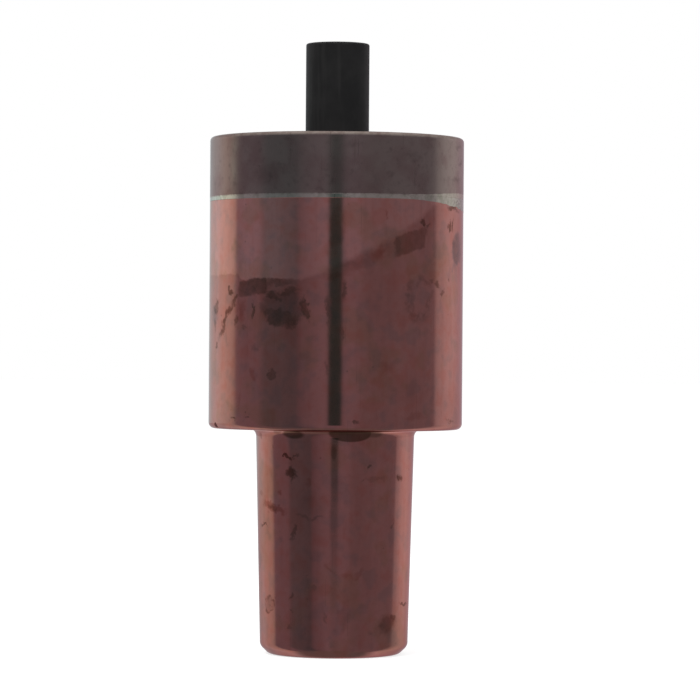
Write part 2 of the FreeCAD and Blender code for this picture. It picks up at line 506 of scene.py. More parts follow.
def makeAge():
    # broad clouds, fine mottling, vertical streaks, pits, hairlines, and the laid-flat place bent unevenly
    tree, inputs, outputs = newGroup(
        "age", {"Place": "vector", "Flat": "vector", "Cloud": "value"},
        {"Clouds": "value", "Blotches": "value", "Mottle": "value", "Streaks": "value", "Pits": "value",
         "Hairlines": "value", "Bent": "vector", "Uneven": "value"})
    place = inputs["Place"]
    tree.links.new(noise(tree, place, inputs["Cloud"], 3.0, 0.55), outputs["Clouds"])
    tree.links.new(noise(tree, place, 0.55, 2.0, 0.5), outputs["Blotches"])
    mottle = noise(tree, place, 1.6, 4.0, 0.6)
    tree.links.new(mottle, outputs["Mottle"])
    tree.links.new(ramp(tree, mottle, 0.3, 0.68), outputs["Uneven"])
    tall = vecCalc(tree, "MULTIPLY", place, (1.0, 1.0, 0.07))
    tree.links.new(noise(tree, tall, 1.3, 3.0, 0.55), outputs["Streaks"])
    cells = addNode(tree, "ShaderNodeTexVoronoi", {"Vector": place, "Scale": 0.8})
    chance = addNode(tree, "ShaderNodeSeparateColor", {0: cells.outputs["Color"]}).outputs[0]
    chosen = ramp(tree, chance, 0.76, 0.8)
    pit = ramp(tree, cells.outputs["Distance"], 0.10, 0.03)
    tree.links.new(times(tree, pit, chosen), outputs["Pits"])
    lines = None
    for turn, offset in ((0.12, 0), (-0.5, 13), (1.35, 37)):
        slanted = addNode(tree, "ShaderNodeMapping", {"Vector": inputs["Flat"], "Location": (offset, 0, 0),
                                                      "Rotation": (0, 0, turn), "Scale": (7.0, 0.1, 1.0)})
        line = ramp(tree, noise(tree, slanted.outputs[0], 1.0, 1.0, 0.4), 0.76, 0.78)
        lines = line if lines is None else most(tree, lines, line)
    tree.links.new(lines, outputs["Hairlines"])
    bend = vecCalc(tree, "SUBTRACT", noise(tree, place, 0.75, 4.0, 0.65, "Color"), (0.5, 0.5, 0.5))
    bend = addNode(tree, "ShaderNodeVectorMath", {0: bend, 3: 2.2}, operation="SCALE").outputs[0]
    tree.links.new(vecCalc(tree, "ADD", inputs["Flat"], bend), outputs["Bent"])
    return tree


def makeToolMarks():
    # fine lines left by the lathe: even feed lines and uneven ones
    tree, inputs, outputs = newGroup("toolMarks", {"Run": "value", "Feed": "value"}, {"Lines": "value"})
    turns = calc(tree, "DIVIDE", times(tree, inputs["Run"], 2 * math.pi), inputs["Feed"])
    feed = calc(tree, "SINE", turns)
    uneven = addNode(tree, "ShaderNodeTexNoise", {"W": inputs["Run"], "Scale": 5.0, "Detail": 4.0},
                     noise_dimensions="1D").outputs["Fac"]
    tree.links.new(linear(tree, feed, 0.12, uneven), outputs["Lines"])
    return tree


def makeRimWear():
    # rubbed band where a rim stands at (radius, height), broken by the mottling
    tree, inputs, outputs = newGroup("rimWear", {"Radius": "value", "Height": "value", "Rim": "vector",
                                                 "Width": "value", "Mottle": "value"}, {"Mask": "value"})
    here = addNode(tree, "ShaderNodeCombineXYZ", {0: inputs["Radius"], 1: inputs["Height"]}).outputs[0]
    gap = addNode(tree, "ShaderNodeVectorMath", {0: here, 1: inputs["Rim"]}, operation="DISTANCE").outputs[1]
    near = ramp(tree, gap, inputs["Width"], times(tree, inputs["Width"], 0.3))
    tree.links.new(times(tree, near, ramp(tree, inputs["Mottle"], 0.4, 0.6)), outputs["Mask"])
    return tree


unrolled = makeUnrolled()
stain = makeStain()
age = makeAge()
toolMarks = makeToolMarks()
rimWear = makeRimWear()


def addStains(tree, marks, radiusAt, bent, uneven):
    # marks are degrees from the front, then in mm height, half width and half height, then turn, edge, fill
    # and for a rimmed one rim
    total = None
    for angle, height, wide, tall, turn, edge, fill, *rim in marks:
        arc = math.radians(angle) * radiusAt(height)
        mask = useGroup(tree, stain, {
            "Flat": bent, "Uneven": uneven, "Centre": (arc, height, 0), "Reach": (wide, tall, 1),
            "Turn": math.radians(turn), "Edge": edge, "Fill": fill, "Rim": rim[0] if rim else 0.0})[0]
        total = mask if total is None else most(tree, total, mask)
    return times(tree, total, linear(tree, uneven, -0.35, 1.1))


def useAge(tree, place, cloud):
    # the place laid flat, and the marks of age on it
    laid = useGroup(tree, unrolled, {"Place": place})
    return laid, useGroup(tree, age, {"Place": place, "Flat": laid["Flat"], "Cloud": cloud})


def wearAt(tree, radius, height, mottle, rimRadius, rimHeight, width):
    return useGroup(tree, rimWear, {"Radius": radius, "Height": height, "Mottle": mottle, "Width": width,
                                    "Rim": (rimRadius / mm, rimHeight / mm, 0)})[0]


def tintBy(tree, mask, color, tint):
    return mixColor(tree, mask, color, rgba(tint), "MULTIPLY")


# Electrode body: head, neck and taper shank. In every look below, sizes and places are in mm, and those
# across are measured round the surface from the front.
body = {
    "sides": 384,
    "proudBraze": 0.008 * mm,  # the braze that ran down stands this little off the copper
    "shankLength": 22.5 * mm,
    "shankTop": 7.9375 * mm,
    "taper": 1 / 20,
    "rimRound": 0.6 * mm,
    "jointRound": 0.04 * mm,
    "neckRound": 0.75 * mm,
    "endChamfer": 0.85 * mm,
    "nick": {"heading": -69.0, "height": 22.75 * mm, "size": 0.42 * mm},  # in the head's lower rim
    "endRound": 0.32 * mm,
    "mouthChamfer": 0.55 * mm,
    "stop": 37.0 * mm,
}
thread = {"pitch": 25.4 * mm / 24, "rootFlat": 0.2 * mm, "crestFlat": 0.13 * mm, "sides": 96,
          "length": 12.0 * mm, "bodyCrest": 4.7625 * mm, "plugRoot": 4.12 * mm}


def shankRadius(z):
    return body["shankTop"] - (body["shankLength"] - z) * body["taper"] / 2


def makeBody():
    wall = headRadius - body["proudBraze"]
    end = body["endChamfer"]
    topOfShank = (shankRadius(body["shankLength"]), body["shankLength"])
    rim = (wall, body["shankLength"])
    shoulder = (shankRadius(end), end)
    foot = (shankRadius(0) - end, 0.0)
    piece = turnPiece("bodyCopper", [
        (guideRadius, jointZ), (wall, jointZ), rim, topOfShank, shoulder, foot,
        (chamberRadius + body["mouthChamfer"], 0.0), (chamberRadius, body["mouthChamfer"]),
        (chamberRadius, body["stop"]), (guideRadius, body["stop"])], body["sides"])
    roundRims(piece, [rim], body["rimRound"], 8)
    roundRims(piece, [topOfShank], body["neckRound"], 8)
    roundRims(piece, [shoulder, foot], body["endRound"], 4)
    roundRims(piece, [(wall, jointZ)], body["jointRound"], 2)
    tap = threadRod("tap", thread, thread["bodyCrest"], chamberRadius - 0.05 * mm, -thread["pitch"],
                    thread["length"])
    cutAway(piece, tap)
    nick = body["nick"]
    angle = math.radians(nick["heading"])
    bpy.ops.object.select_all(action="DESELECT")
    bpy.ops.mesh.primitive_ico_sphere_add(subdivisions=2, radius=nick["size"], location=(
        headRadius * math.sin(angle), -headRadius * math.cos(angle), nick["height"]))
    knock = startPiece("knock")
    applyPlace(knock)
    cutAway(piece, knock)
    return piece


copperLook = {
    "clean": (0.55, 0.272, 0.238),
    "worn": (0.410, 0.187, 0.162),
    "edgeTint": (0.83, 0.72, 0.69),  # keeps the limbs from turning white
    "roughness": 0.095,
    "shankTint": (0.95, 0.925, 0.93),
    # above this line the brazing heat left the copper cleaner and pinker; it climbs to the joint on the right
    "heatLine": {"height": 37.3, "step": 0.45, "steps": ((-10.2, -11.0), (28.0, 36.0)), "rise": 7.0,
                 "from": -3.4, "over": 13.8, "most": 1.4, "curve": 1.25, "fall": (37.0, 27.0),
                 "sharp": 0.1, "blurred": 0.42, "blurs": (-6.0, 1.0)},
    "brightest": (0.66, 0.36, 0.32),
    "brightBand": (-11.2, -9.8, -6.5, -3.0),
    "cool": (0.86, 0.95, 0.98),
    "warm": (1.0, 0.90, 0.87),
    "olive": (0.88, 0.90, 0.82),
    "tarnish": (0.45, 0.50, 0.46),
    # painted shade: the tarnish turns darker and browner towards both limbs
    "limbShadedTarnish": (0.40, 0.36, 0.31),  # browner on both sides
    "patches": [
        # with straighter edges: degrees, height, half width, half height, climb, tarnish, scorch
        (-40, 36.45, 1.85, 0.78, 0.06, 0.9, 0.2),
        (35.2, 41, 1.9, 1, 0.29, 0.55, 0.55),
    ],
    "headTarnish": [
        (-26, 36.95, 2.6, 0.45, 3, 0.7, 0.6),
        (3.8, 36.1, 0.36, 1.15, 4, 0.6, 0.7),  # ragged stains beside the middle
        (-3.3, 34.1, 0.34, 1.7, -3, 0.6, 0.7),
        (3.2, 32, 0.28, 0.8, 0, 0.7, 0.5),
        (-3.2, 28.6, 0.26, 1.1, 0, 0.7, 0.4),
        (-24, 34.4, 2.75, 1.95, 4, 0.3, 0.5),  # oval blotch, darkest at its foot and top
        (-25, 33.5, 2.2, 1.05, 6, 0.4, 1),
        (-19, 33.35, 1.2, 0.6, -10, 0.5, 0.9),
        (-28.5, 35.5, 1.2, 0.7, 20, 0.5, 0.95),
        (-20.5, 35.9, 1.5, 0.5, -12, 0.5, 0.85),
        (-13.4, 34.4, 0.42, 1.5, -10, 0.5, 1),
        (-40.2, 34.2, 0.30, 0.95, 3, 0.5, 1),
        (-28.9, 27.95, 0.64, 0.56, 0, 0.35, 0.75),
        (-38.5, 30.4, 0.65, 0.5, 0, 0.8, 0.35),
        (42, 42.9, 0.55, 0.45, 30, 0.5, 0.9),
        (45, 42.5, 0.5, 0.22, -42, 0.6, 0.8),
        (61.5, 42.6, 0.32, 0.85, 25, 0.5, 1),
        (65, 42.9, 0.28, 0.75, 10, 0.5, 1),
        (40.5, 35.5, 1.75, 2.4, 8, 0.7, 0, 0.65),  # faint loop
        (36.3, 35, 0.42, 1.7, -6, 0.7, 0.35),
        (47.5, 37.5, 0.35, 0.35, 0, 0.6, 0.6),
        (52.5, 36.8, 0.75, 0.42, 25, 0.6, 0.85),
        (56, 36, 0.32, 0.45, -15, 0.7, 0.7),
        (60.2, 37.3, 0.24, 0.35, 10, 0.7, 0.85),
        (-54, 36.1, 0.65, 0.40, 35, 0.5, 0.95),  # rubbed streak down to the left
        (-50.5, 35.3, 0.30, 1, 39, 0.6, 0.9),
        (-58.5, 33.4, 0.34, 3.3, 39, 0.6, 0.9),
        (-50.5, 33.2, 0.50, 0.55, -20, 0.6, 0.85),
        (-45, 32.7, 0.7, 0.2, 25, 0.7, 0.6),
        (-68, 30.8, 0.44, 0.38, 0, 0.5, 0.95),
        (-69, 34.5, 0.75, 0.95, 0, 0.4, 0.95, 0.5),
        (-70, 32.6, 0.42, 1.1, 0, 0.6, 0.8),
        (-51, 23.6, 0.30, 0.22, 0, 0.6, 0.9),
        (-42.5, 23.75, 0.42, 0.22, 12, 0.6, 0.9),
        (9, 23.3, 0.50, 0.28, 25, 0.6, 0.9),
        (64.5, 23.5, 1.5, 0.12, 3, 0.6, 0.6),
        (66, 44.5, 2.1, 0.34, 6, 0.6, 1),  # burnt edge under the braze
        (70.5, 40.4, 1.7, 1.6, 12, 0.5, 0.4),
        (-118, 33, 1.8, 1.3, 20, 0.4, 0.45, 0.5),
        (-150, 36, 1.4, 0.9, -15, 0.5, 0.7, 0.2),
        (122, 30.5, 2.4, 0.6, -8, 0.5, 0.6),
        (148, 35.5, 0.9, 1.6, 12, 0.4, 0.3, 0.55),
        (165, 27, 0.5, 0.5, 0, 0.6, 0.6),
    ],
    "scorch": (0.74, 0.60, 0.56),
    "headScorch": [
        (0.3, 42, 0.75, 2.9, 0, 0.5, 0.6),
        (-46.5, 34.2, 0.9, 1.6, 10, 0.8, 0.8),
        (19, 39.8, 2.3, 0.9, -26, 0.9, 0.9),
        (9, 38.5, 2.2, 0.8, -22, 0.9, 0.8),
        (1, 37.6, 2.6, 0.5, -10, 0.9, 0.5),
        (42.5, 43, 0.5, 0.5, 30, 0.6, 0.8),
        (23.2, 43.7, 0.20, 0.6, 0, 0.6, 0.8),
        (-57.5, 33.8, 0.55, 3.5, 39, 0.8, 0.6),
        (-39.8, 27.9, 0.65, 0.6, 0, 0.6, 0.8),
        (24, 29, 1.3, 0.7, -20, 0.9, 0.5),
        (33, 26.5, 2.8, 2.4, 0, 0.9, 0.35),
        (72, 24.8, 4.4, 3, 0, 0.9, 0.5),
        (-47, 25.5, 0.25, 2.2, 4, 0.9, 0.4),
        (38, 23.9, 2.2, 0.5, 0, 0.9, 0.6),
        (-140, 30, 4, 3, 0, 0.9, 0.5),
        (130, 38, 4.5, 2, 0, 0.9, 0.5),
        (-100, 26.5, 2.5, 1.5, 0, 0.9, 0.4),
    ],
    "bloom": (0.52, 0.69, 0.80),
    "headBloom": [
        (-39.8, 36.7, 2.9, 0.85, 0, 0.4, 0.3),
        (-24, 34.4, 2.75, 1.95, 4, 0.3, 0.3),
        (71, 40.4, 1.9, 1.9, 12, 0.35, 0.95),
        (66, 38.6, 1, 0.5, -25, 0.7, 0.5),
        (-71, 33.6, 1.4, 1.3, 10, 0.5, 0.75),
        (-20.5, 35, 0.9, 0.7, 0, 0.8, 0.35),
        (171, 33, 2.2, 1.4, 0, 0.7, 0.5),
    ],
    "shankTarnish": [
        (-70, 21.7, 0.45, 0.4, 0, 0.4, 0.6, 0.8),
        (-33, 18.2, 0.95, 0.36, 0, 0.5, 1),  # four-pointed spot
        (-33, 18.2, 0.36, 1.05, 0, 0.5, 1),
        (-33, 18.2, 0.62, 0.58, 0, 0.4, 1),
        (-36.6, 19.95, 0.44, 0.30, 0, 0.3, 1),
        (-29.5, 20.15, 0.9, 0.12, -6, 0.6, 0.9),
        (-51, 20.7, 0.35, 0.4, 0, 0.7, 0.45),
        (32, 17.7, 1.6, 0.42, 2, 0.5, 0.3),
        (26.4, 19, 0.32, 0.20, 0, 0.5, 0.85),
        (22, 17.5, 0.25, 0.25, 0, 0.7, 0.5),
        (54.5, 17.8, 0.5, 0.62, 10, 0.5, 0.8, 0.5),
        (-31.2, 12.5, 0.28, 0.7, 0, 0.5, 0.75),
        (-32, 11.75, 0.5, 0.3, 0, 0.6, 0.5),
        (-65.8, 13.05, 1, 0.2, -8, 0.5, 1),
        (-52, 14.75, 0.9, 0.25, 5, 0.6, 0.6),
        (-16.5, 15.2, 1.9, 1.6, 20, 0.6, 0.22, 0.1),
        (-22.5, 13.9, 1.1, 0.25, 25, 0.7, 0.55),
        (-12.5, 13.9, 1, 0.25, -25, 0.7, 0.55),
        (-34.8, 6.2, 0.30, 0.6, 30, 0.6, 0.7),
        (-35, 4.4, 0.28, 0.22, 0, 0.6, 0.7),
        (-35.5, 3.1, 0.28, 0.24, 0, 0.6, 0.6),
        (-7, 4.1, 0.28, 0.95, 0, 0.7, 0.5),
        (-15.5, 7.1, 0.55, 0.4, 30, 0.8, 0.4),
        (-58, 5.1, 1.1, 0.75, -15, 0.3, 0.1, 1),
        (-55, 5.4, 0.55, 0.45, 0, 0.4, 0, 1),
        (-64.5, 4.6, 0.5, 0.2, -40, 0.6, 0.9),
        (68, 5.15, 1.35, 0.18, 3, 0.5, 1),
        (45, 3.3, 1.5, 1.2, -15, 0.7, 0.45, 0.2),
        (50, 4, 0.45, 0.5, 0, 0.5, 0.8, 0.3),
        (29.5, 2.4, 0.3, 0.3, 0, 0.8, 0.3),
        (49.5, 13.1, 0.45, 0.12, -25, 0.7, 0.6),
        (-140, 11, 0.9, 1.8, 10, 0.5, 0.4, 0.3),
        (125, 16, 1.3, 0.5, -10, 0.6, 0.6),
    ],
    "shankScorch": [
        (-33, 18.2, 0.7, 0.6, 0, 0.6, 0.7),
        (-66, 13.1, 0.9, 0.2, -8, 0.6, 0.8),
        (68, 5.1, 1.3, 0.2, 3, 0.6, 0.8),
        (54.5, 17.8, 0.6, 0.7, 10, 0.6, 0.7),
        (-51.5, 14.8, 2.4, 0.52, 7, 0.4, 1),
        (-36.6, 19.95, 0.44, 0.30, 0, 0.3, 1),
        (-69.8, 16, 0.65, 0.45, 0, 0.6, 0.9),
        (-44, 16.3, 0.6, 0.5, 0, 0.6, 0.85),
        (-53.5, 18.2, 0.5, 0.9, 0, 0.8, 0.4),
        (-18.7, 17.4, 0.35, 0.5, 0, 0.7, 0.6),
        (-58, 5.1, 1.2, 0.8, -15, 0.3, 0.25, 1),
        (45, 3.3, 1.6, 1.3, -15, 0.7, 0.6),
        (7, 4.5, 0.65, 4, 0, 0.8, 0.5),
        (-3.5, 9.1, 0.95, 0.35, 38, 0.8, 0.5),
        (8, 8, 0.9, 0.35, 5, 0.8, 0.4),
        (18.5, 8.4, 0.95, 0.35, -45, 0.8, 0.5),
        (120, 8, 1.8, 2.5, 0, 0.9, 0.4),
        (-110, 14, 1.8, 1, 0, 0.9, 0.5),
    ],
    # painted highlight: brighter copper in the corner where the neck fillet meets the head's underside
    "corner": {"color": (0.85, 0.52, 0.45), "heights": (22.22, 22.38, 22.56, 22.62), "radii": (9.3, 8.9)},
    # painted reflection: this dark colour and the marks below stand for dark things in front of the piece,
    # seen in the neck fillet and down the middle of the shank top
    "neckReflectionShade": (0.34, 0.36, 0.30),
    "neckReflectionRadii": (9.7, 9.3),
    "neckReflectionMarks": [
        (11.5, 22.25, 2.35, 0.95, 0, 0.15, 1),  # smoother than the other marks
        (29, 22.15, 1.3, 0.45, 0, 0.5, 0.6),
        (-31.5, 22.1, 1.5, 0.55, 5, 0.4, 1),
        (-45, 22.3, 0.9, 0.3, -4, 0.6, 0.6),
        (-0.6, 20.3, 0.36, 0.95, 0, 0.5, 0.45),
    ],
    "shankBloom": [
        (-75, 9.3, 0.8, 1.2, 0, 0.6, 0.6),
        (-20, 16, 1, 1, 0, 0.9, 0.2),
        (74, 15.5, 0.5, 1, 0, 0.7, 0.4),
    ],
}


def makeCopper():
    look = copperLook
    material, tree, shader, place = newMaterial("agedCopper")
    laid, aged = useAge(tree, place, 0.22)
    flat, radius, height, run = laid
    clouds, blotches, mottle, streaks, pits, hairlines, bent, uneven = aged
    onHead = calc(tree, "GREATER_THAN", height, body["shankLength"] / mm - 0.1)
    offHead = minus(tree, 1.0, onHead)
    x, y = splitPlace(tree, flat)[:2]
    bentX, bentY = splitPlace(tree, bent)[:2]
    line = look["heatLine"]
    climb = linear(tree, x, 1 / line["over"], -line["from"] / line["over"])
    climb = calc(tree, "POWER", calc(tree, "MINIMUM", most(tree, climb, 0.0), line["most"]), line["curve"])
    climb = times(tree, climb, ramp(tree, x, *line["fall"]))  # it comes down again round the back
    lineY = linear(tree, climb, line["rise"], line["height"])
    for low, high in line["steps"]:
        lineY = plus(tree, lineY, ramp(tree, x, low, high, 0.0, line["step"]))
    raggedX = linear(tree, minus(tree, bentX, x), 0.7, x)
    raggedY = linear(tree, minus(tree, bentY, y), 0.4, y)
    overLine = minus(tree, raggedY, lineY)
    soft = ramp(tree, x, *line["blurs"], line["sharp"], line["blurred"])  # it blurs where it climbs
    aboveHeat = ramp(tree, overLine, times(tree, soft, -1.0), soft)
    color = mixColor(tree, ramp(tree, clouds, 0.36, 0.66), rgba(look["worn"]), rgba(look["clean"]))
    color = mixColor(tree, 0.75, color, rgba(look["worn"]))
    color = mixColor(tree, times(tree, aboveHeat, 0.9), color, rgba(look["clean"]))
    brightest = times(tree, between(tree, x, look["brightBand"]), aboveHeat, 0.7)
    color = mixColor(tree, brightest, color, rgba(look["brightest"]))
    color = tintBy(tree, offHead, color, look["shankTint"])
    color = tintBy(tree, ramp(tree, blotches, 0.5, 0.34), color, look["cool"])
    color = tintBy(tree, ramp(tree, blotches, 0.52, 0.68), color, look["warm"])
    color = tintBy(tree, ramp(tree, clouds, 0.5, 0.62), color, look["olive"])
    grain = times(tree, ramp(tree, streaks, 0.42, 0.7), 0.16)
    color = tintBy(tree, grain, color, look["scorch"])
    color = tintBy(tree, times(tree, ramp(tree, mottle, 0.45, 0.75), 0.2), color, look["scorch"])

    def bothParts(headMarks, shankMarks, headShare=onHead):
        head = addStains(tree, look[headMarks], lambda z: headRadius / mm, bent, uneven)
        shank = addStains(tree, look[shankMarks], lambda z: shankRadius(z * mm) / mm, bent, uneven)
        return plus(tree, times(tree, head, headShare), times(tree, shank, offHead))

    scorch = bothParts("headScorch", "shankScorch")
    bloom = bothParts("headBloom", "shankBloom")
    underHeat = times(tree, onHead, linear(tree, aboveHeat, -0.9, 1.0))
    tarnish = bothParts("headTarnish", "shankTarnish", underHeat)
    fine = most(tree, times(tree, pits, 0.7), times(tree, hairlines, 0.3))
    tarnish = most(tree, tarnish, fine)
    for angle, level, wide, tall, slope, dark, burnt in look["patches"]:
        across = minus(tree, raggedX, math.radians(angle) * headRadius / mm)
        upward = minus(tree, raggedY, linear(tree, across, slope, level))
        inWidth = ramp(tree, calc(tree, "ABSOLUTE", across), wide + 0.2, wide - 0.2)
        inHeight = ramp(tree, calc(tree, "ABSOLUTE", upward), tall + 0.14, tall - 0.14)
        patch = times(tree, inWidth, inHeight, linear(tree, uneven, -0.35, 1.0))
        tarnish = most(tree, tarnish, times(tree, patch, dark))
        scorch = most(tree, scorch, times(tree, patch, burnt))
    color = tintBy(tree, scorch, color, look["scorch"])
    color = tintBy(tree, bloom, color, look["bloom"])
    # tarnish, with painted shade making it darker and browner towards both limbs
    limb = ramp(tree, calc(tree, "DIVIDE", calc(tree, "ABSOLUTE", x), radius), 0.78, 0.9)
    dark = mixColor(tree, limb, rgba(look["tarnish"]), rgba(look["limbShadedTarnish"]))
    color = mixColor(tree, tarnish, color, dark, "MULTIPLY")
    # painted highlight in the corner under the head
    corner = look["corner"]
    inPaintedCornerLight = times(tree, between(tree, height, corner["heights"]), ramp(tree, radius, *corner["radii"]))
    color = mixColor(tree, times(tree, inPaintedCornerLight, 0.75), color, rgba(corner["color"]))
    # painted dark reflection in the neck fillet and down the middle of the shank top, kept inside the shank's
    # radius
    neckReflectionShade = addStains(tree, look["neckReflectionMarks"], lambda z: shankRadius(z * mm) / mm, flat, 0.4)
    neckReflectionShade = times(tree, neckReflectionShade, ramp(tree, radius, *look["neckReflectionRadii"]))
    color = tintBy(tree, neckReflectionShade, color, look["neckReflectionShade"])
    rough = linear(tree, ramp(tree, clouds, 0.35, 0.7), 0.03, look["roughness"])
    rough = linear(tree, tarnish, 0.12, rough)
    lines = useGroup(tree, toolMarks, {"Run": run, "Feed": 0.16})[0]
    finishSkin(tree, shader, color, rough, lines, 0.1, 0.002 * mm)
    shader.inputs["Specular Tint"].default_value = rgba(look["edgeTint"])
    return material


bodyPiece = makeBody()
handOver(bodyPiece, "electrode", "electrode_body", makeCopper())

# Braze: a thin layer under the facing, with the skin that ran down on the right
braze = {"sides": 384, "drop": 0.95 * mm, "depth": 0.15 * mm, "heading": 7.0, "halfSpread": 72.0,
         "curve": 2.5, "least": 0.004 * mm,
         "waves": [(23, 0.07, 0.5), (41, 0.06, 2.0), (67, 0.05, 4.0)]}  # count round the piece, size, shift


def runoutDrop(angle):
    # how far the braze ran down at this angle, a little uneven along its edge
    farthest = math.cos(math.radians(braze["halfSpread"]))
    share = (math.cos(angle - math.radians(braze["heading"])) - farthest) / (1 - farthest)
    uneven = 1 + sum(size * math.sin(count * angle + shift) for count, size, shift in braze["waves"])
    return braze["drop"] * max(share, 0) ** braze["curve"] * uneven


def makeBraze():
    inside = headRadius - braze["depth"]
    piece = turnPiece("brazeSilver", [(guideRadius, jointZ), (inside, jointZ), (headRadius, jointZ),
                                      (headRadius, facingZ), (guideRadius, facingZ)], braze["sides"])
    editPiece(piece, "FACE")
    mesh = bmesh.from_edit_mesh(piece.data)
    for face in mesh.faces:
        middle = face.calc_center_median()
        flatFace = all(abs(v.co.z - jointZ) < 1e-7 for v in face.verts)
        runs = min(runoutDrop(math.atan2(v.co.y, v.co.x)) for v in face.verts) > braze["least"]
        face.select_set(flatFace and middle.xy.length > inside and runs)
    bmesh.update_edit_mesh(piece.data)
    bpy.ops.mesh.extrude_region_move(TRANSFORM_OT_translate={"value": (0, 0, -braze["drop"])})
    mesh = bmesh.from_edit_mesh(piece.data)
    for vert in mesh.verts:
        if vert.co.z < jointZ - 1e-7:
            vert.co.z = jointZ - runoutDrop(math.atan2(vert.co.y, vert.co.x))
    bmesh.update_edit_mesh(piece.data)
    leaveEdit()
    return piece


silverLook = {"pale": (0.53, 0.49, 0.42), "dull": (0.40, 0.38, 0.31), "dark": (0.14, 0.11, 0.09),
              "edgeTint": (0.80, 0.80, 0.78), "scorch": (0.80, 0.80, 0.78),
              "specks": (13.5, 15.5, 21.0, 26.0), "scorched": (8.5, 14.0, 22.0, 30.0)}


def silverColor(tree, x, mottle):
    look = silverLook
    color = mixColor(tree, ramp(tree, mottle, 0.4, 0.7), rgba(look["pale"]), rgba(look["dull"]))
    return tintBy(tree, between(tree, x, look["scorched"]), color, look["scorch"])


def makeSilver():
    material, tree, shader, place = newMaterial("brazeSilver")
    laid, aged = useAge(tree, place, 0.5)
    mottle = aged["Mottle"]
    x = splitPlace(tree, laid["Flat"])[0]
    color = silverColor(tree, x, mottle)
    fine = ramp(tree, noise(tree, place, 4.5, 3.0, 0.6), 0.52, 0.6)
    specks = times(tree, between(tree, x, silverLook["specks"]), fine, 0.75)
    specks = most(tree, specks, aged["Pits"], aged["Hairlines"])
    color = mixColor(tree, specks, color, rgba(silverLook["dark"]))
    rough = linear(tree, mottle, 0.14, 0.08)
    finishSkin(tree, shader, color, rough, mottle, 0.3, 0.03 * mm)
    shader.inputs["Specular Tint"].default_value = rgba(silverLook["edgeTint"])
    return material


brazePiece = makeBraze()
handOver(brazePiece, "electrode", "braze_layer", makeSilver())

# Hard facing ring, with its working face on top
facing = {"sides": 384, "edgeRound": 0.38 * mm, "boreRound": 0.2 * mm, "footRound": 0.04 * mm}


def makeFacing():
    top = (headRadius, faceZ)
    bore = (guideRadius, faceZ)
    foot = (headRadius, facingZ)
    piece = turnPiece("facingRing", [(guideRadius, facingZ), foot, top, bore], facing["sides"])
    roundRims(piece, [top], facing["edgeRound"], 8)
    roundRims(piece, [bore], facing["boreRound"], 4)
    roundRims(piece, [foot], facing["footRound"], 2)
    return piece


facingLook = {
    "grey": (0.265, 0.214, 0.190),
    "edgeTint": (0.79, 0.72, 0.70),
    "brown": (0.225, 0.165, 0.150),
    "dark": (0.07, 0.05, 0.048),
    "wet": {"rise": 0.07, "more": 0.42, "zone": (6.5, 17.0, 24.0, 31.0)},
    "rubbed": (0.37, 0.31, 0.28),
    "left": (-11.4, -12.8),
    "leftTint": (0.95, 0.82, 0.85),
    "marks": [
        (72, 50.6, 1.9, 0.45, 3, 0.9, 0.45),  # rubbed on the right
        (75, 49, 1.2, 0.3, -4, 0.9, 0.5),
        (70, 47.3, 2.2, 0.5, 2, 0.9, 0.4),
        (35, 49.3, 1.5, 0.65, 0, 0.8, 0.25, 0.1),
        (-30, 47.6, 3, 1.1, 0, 0.9, 0.2),
        (-155, 48, 1.6, 1, 0, 0.7, 0.4, 0.1),
        (120, 47.5, 2.2, 0.8, 0, 0.8, 0.35),
    ],
}


def makeHardMetal():
    look = facingLook
    material, tree, shader, place = newMaterial("hardFacing")
    laid, aged = useAge(tree, place, 0.3)
    flat, radius, height, run = laid
    clouds, mottle = aged["Clouds"], aged["Mottle"]
    color = mixColor(tree, ramp(tree, clouds, 0.4, 0.65), rgba(look["grey"]), rgba(look["brown"]))
    color = mixColor(tree, times(tree, ramp(tree, mottle, 0.5, 0.75), 0.3), color, rgba(look["dark"]))
    marks = addStains(tree, look["marks"], lambda z: headRadius / mm, aged["Bent"], aged["Uneven"])
    marks = most(tree, marks, times(tree, aged["Hairlines"], 0.5), times(tree, aged["Pits"], 0.6))
    color = mixColor(tree, marks, color, rgba(look["dark"]))
    worn = most(tree, wearAt(tree, radius, height, mottle, headRadius, faceZ, 0.6),
                wearAt(tree, radius, height, mottle, guideRadius, faceZ, 0.45))
    color = mixColor(tree, times(tree, worn, 0.6), color, rgba(look["rubbed"]))
    x, y = splitPlace(tree, flat)[:2]
    color = tintBy(tree, ramp(tree, x, *look["left"]), color, look["leftTint"])
    wet = look["wet"]  # braze wetted the foot of the ring, higher on the right
    more = times(tree, between(tree, x, wet["zone"]), wet["more"])
    ragged = linear(tree, minus(tree, mottle, 0.5), 0.12, y)
    over = minus(tree, ragged, plus(tree, more, facingZ / mm + wet["rise"]))
    color = mixColor(tree, ramp(tree, over, 0.03, -0.03), color, silverColor(tree, x, mottle))
    rough = linear(tree, worn, -0.04, linear(tree, clouds, 0.06, 0.17))
    rough = linear(tree, marks, 0.15, rough)
    lines = useGroup(tree, toolMarks, {"Run": run, "Feed": 0.22})[0]
    finishSkin(tree, shader, color, rough, lines, 0.2, 0.003 * mm)
    shader.inputs["Specular Tint"].default_value = rgba(look["edgeTint"])
    return material


facingPiece = makeFacing()
handOver(facingPiece, "electrode", "facing_ring", makeHardMetal())

# Locating pin: nose, guided stem, flange under the stop, and the spigot that centres the spring
pin = {"sides": 192, "nose": 3.175 * mm, "stem": 3.375 * mm, "flange": 4.15 * mm, "spigot": 2.85 * mm,
       "flangeHeight": 34.5 * mm, "tipRound": 0.2 * mm, "edgeRound": 0.12 * mm}


